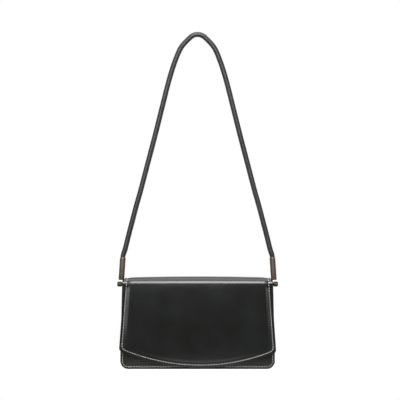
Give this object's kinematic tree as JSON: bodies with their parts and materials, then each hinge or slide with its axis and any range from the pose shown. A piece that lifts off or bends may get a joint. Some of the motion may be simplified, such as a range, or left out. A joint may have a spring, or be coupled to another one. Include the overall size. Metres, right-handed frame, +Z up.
{
  "type": "baguette bag",
  "caption": "Small flap-front shoulder bag in black leather with a rolled leather strap that runs into slim metal ferrules hooked to a post on each end.",
  "frame": {"origin": "centre of the bounding box on the standing plane, under the middle of the bag", "axes": "+X towards the bag's right end as seen from its front, +Y towards its back, +Z up towards the top of the strap; the flap's front faces -Y"},
  "size_m": [0.236, 0.0652, 0.4942],
  "materials": {
    "outer_leather": "smooth black leather with a soft shine and painted edges",
    "strap_hide": "rolled black leather, soft shine",
    "inner_leather": "matte black leather",
    "lining_cloth": "black twill",
    "stiffener": "pressed fibre board",
    "filler_cord": "twisted cotton cord",
    "aged_brass": "antique brass, brown with lighter rubbed edges",
    "steel": "bright plated steel",
    "magnet": "dark sintered magnet"
  },
  "bodies": {
    "bag": {"front_panel": "outer_leather", "front_board": "stiffener", "front_facing": "inner_leather", "front_lining": "lining_cloth", "back_panel": "outer_leather", "back_board": "stiffener", "back_facing": "inner_leather", "back_lining": "lining_cloth", "side_gusset_left": "outer_leather", "side_gusset_right": "outer_leather", "gusset_board_left": "stiffener", "gusset_board_right": "stiffener", "gusset_lining_left": "lining_cloth", "gusset_lining_right": "lining_cloth", "base_gusset": "outer_leather", "base_board": "stiffener", "base_lining": "lining_cloth", "slip_pocket": "inner_leather", "strap_post_left": "aged_brass", "strap_post_right": "aged_brass", "post_nut_left": "aged_brass", "post_nut_right": "aged_brass", "snap_socket": "aged_brass", "snap_socket_base": "steel", "snap_magnet": "magnet", "snap_socket_plate": "steel", "flap_leather_back": "outer_leather"},
    "flap_top": {"flap_leather_top": "outer_leather", "flap_lining_top": "inner_leather"},
    "flap_front": {"flap_leather_front": "outer_leather", "flap_board": "stiffener", "flap_lining_front": "inner_leather", "snap_stud": "aged_brass", "snap_stud_plate": "steel"},
    "strap": {"strap_leather": "strap_hide", "strap_core": "filler_cord", "ferrule_left": "aged_brass", "ferrule_right": "aged_brass", "strap_ring_left": "aged_brass", "strap_ring_right": "aged_brass"}
  },
  "joints": [
    {"name": "flap_lift", "type": "hinge", "parent": "bag", "child": "flap_top", "pos_m": [0, 0.03024, 0.13264], "axis": [-1, 0, 0], "range_deg": [0, 40]},
    {"name": "flap_fold", "type": "hinge", "parent": "flap_top", "child": "flap_front", "pos_m": [0, -0.03024, 0.13264], "axis": [-1, 0, 0], "range_deg": [0, 100]},
    {"name": "strap_swing", "type": "hinge", "parent": "bag", "child": "strap", "pos_m": [0, 0.0022, 0.124], "axis": [1, 0, 0], "range_deg": [-60, 60]}
  ],
  "couplings": [
    {"joint": "flap_fold", "follows": "flap_lift", "ratio": 2.5}
  ]
}
